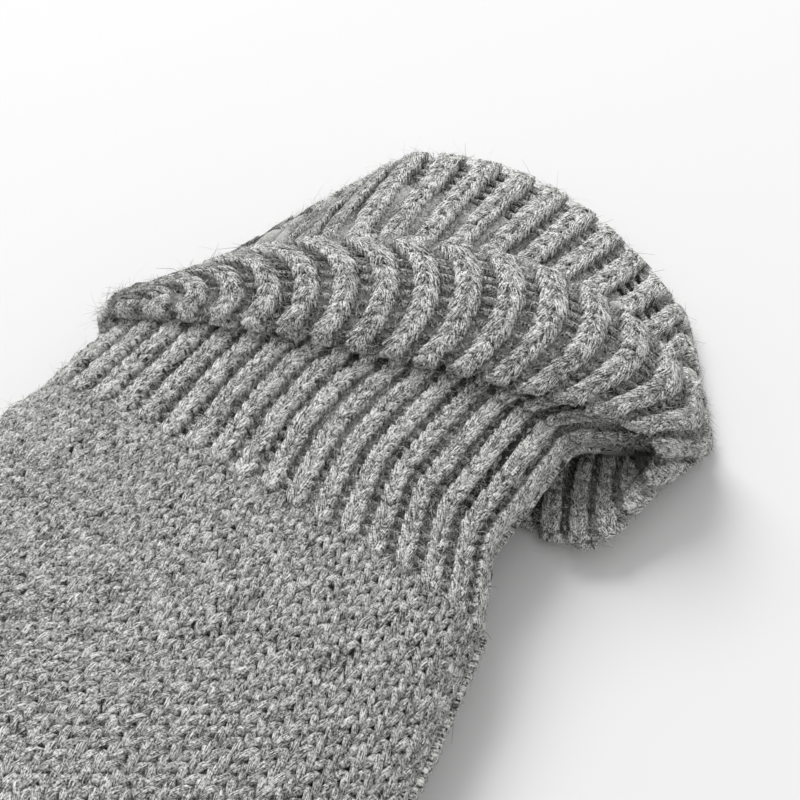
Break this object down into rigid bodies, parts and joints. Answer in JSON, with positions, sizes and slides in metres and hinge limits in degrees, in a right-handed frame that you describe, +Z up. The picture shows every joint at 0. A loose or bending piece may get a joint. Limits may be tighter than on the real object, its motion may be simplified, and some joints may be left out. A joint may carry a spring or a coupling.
{
  "type": "knitted gloves",
  "caption": "Pair of knitted wool gloves lying palm up, with fingers and thumbs that bend and rib cuffs turned back that unroll.",
  "frame": {"origin": "on the resting face under the heel of the right glove's palm, 20 mm from the end of its rib", "axes": "+Y from the fingers to the cuffs, +Z up out of the palms, +X from the left glove to the right glove"},
  "size_m": [0.3357, 0.2737, 0.0298],
  "materials": {
    "knit_plain": "brushed grey melange wool, stocking stitch",
    "knit_rib": "brushed grey melange wool, one-by-one rib",
    "knit_seam": "grey melange wool yarn, sewn or gathered"
  },
  "bodies": {
    "right_glove": {"right_hand": "knit_plain", "right_wrist_rib": "knit_rib", "right_cuff_lining": "knit_rib", "right_side_seam": "knit_seam", "right_thumb_seam": "knit_seam"},
    "right_cuff": {"right_cuff_turnback": "knit_rib", "right_cast_on_edge": "knit_seam"},
    "right_thumb_body": {"right_thumb": "knit_plain", "right_thumb_tip_closure": "knit_seam"},
    "right_index_body": {"right_index_finger": "knit_plain", "right_index_tip_closure": "knit_seam"},
    "right_middle_body": {"right_middle_finger": "knit_plain", "right_middle_tip_closure": "knit_seam"},
    "right_ring_body": {"right_ring_finger": "knit_plain", "right_ring_tip_closure": "knit_seam"},
    "right_little_body": {"right_little_finger": "knit_plain", "right_little_tip_closure": "knit_seam"},
    "left_glove": {"left_hand": "knit_plain", "left_wrist_rib": "knit_rib", "left_cuff_lining": "knit_rib", "left_side_seam": "knit_seam", "left_thumb_seam": "knit_seam"},
    "left_cuff": {"left_cuff_turnback": "knit_rib", "left_cast_on_edge": "knit_seam"},
    "left_thumb_body": {"left_thumb": "knit_plain", "left_thumb_tip_closure": "knit_seam"},
    "left_index_body": {"left_index_finger": "knit_plain", "left_index_tip_closure": "knit_seam"},
    "left_middle_body": {"left_middle_finger": "knit_plain", "left_middle_tip_closure": "knit_seam"},
    "left_ring_body": {"left_ring_finger": "knit_plain", "left_ring_tip_closure": "knit_seam"},
    "left_little_body": {"left_little_finger": "knit_plain", "left_little_tip_closure": "knit_seam"}
  },
  "joints": [
    {"name": "right_cuff_unroll", "type": "slide", "parent": "right_glove", "child": "right_cuff", "axis": [0, 1, 0], "range_m": [0, 0.03]},
    {"name": "right_thumb_bend", "type": "hinge", "parent": "right_glove", "child": "right_thumb_body", "pos_m": [-0.059, -0.04272, 0.0135], "axis": [-0.829, 0.5592, 0], "range_deg": [0, 80]},
    {"name": "right_index_bend", "type": "hinge", "parent": "right_glove", "child": "right_index_body", "pos_m": [-0.03759, -0.0782, 0.0135], "axis": [-1, 0, 0], "range_deg": [0, 85]},
    {"name": "right_middle_bend", "type": "hinge", "parent": "right_glove", "child": "right_middle_body", "pos_m": [-0.01164, -0.0782, 0.0135], "axis": [-1, 0, 0], "range_deg": [0, 85]},
    {"name": "right_ring_bend", "type": "hinge", "parent": "right_glove", "child": "right_ring_body", "pos_m": [0.01432, -0.0782, 0.0135], "axis": [-1, 0, 0], "range_deg": [0, 85]},
    {"name": "right_little_bend", "type": "hinge", "parent": "right_glove", "child": "right_little_body", "pos_m": [0.03881, -0.0782, 0.0135], "axis": [-1, 0, 0], "range_deg": [0, 85]},
    {"name": "left_cuff_unroll", "type": "slide", "parent": "left_glove", "child": "left_cuff", "axis": [0, 1, 0], "range_m": [0, 0.03]},
    {"name": "left_thumb_bend", "type": "hinge", "parent": "left_glove", "child": "left_thumb_body", "pos_m": [-0.17046, -0.04272, 0.0135], "axis": [-0.829, -0.5592, 0], "range_deg": [0, 80]},
    {"name": "left_index_bend", "type": "hinge", "parent": "left_glove", "child": "left_index_body", "pos_m": [-0.19186, -0.0782, 0.0135], "axis": [-1, 0, 0], "range_deg": [0, 85]},
    {"name": "left_middle_bend", "type": "hinge", "parent": "left_glove", "child": "left_middle_body", "pos_m": [-0.21782, -0.0782, 0.0135], "axis": [-1, 0, 0], "range_deg": [0, 85]},
    {"name": "left_ring_bend", "type": "hinge", "parent": "left_glove", "child": "left_ring_body", "pos_m": [-0.24377, -0.0782, 0.0135], "axis": [-1, 0, 0], "range_deg": [0, 85]},
    {"name": "left_little_bend", "type": "hinge", "parent": "left_glove", "child": "left_little_body", "pos_m": [-0.26827, -0.0782, 0.0135], "axis": [-1, 0, 0], "range_deg": [0, 85]},
    {"name": "left_glove_lift", "type": "slide", "parent": "right_glove", "child": "left_glove", "axis": [0, 0, 1], "range_m": [0, 0.1]}
  ]
}
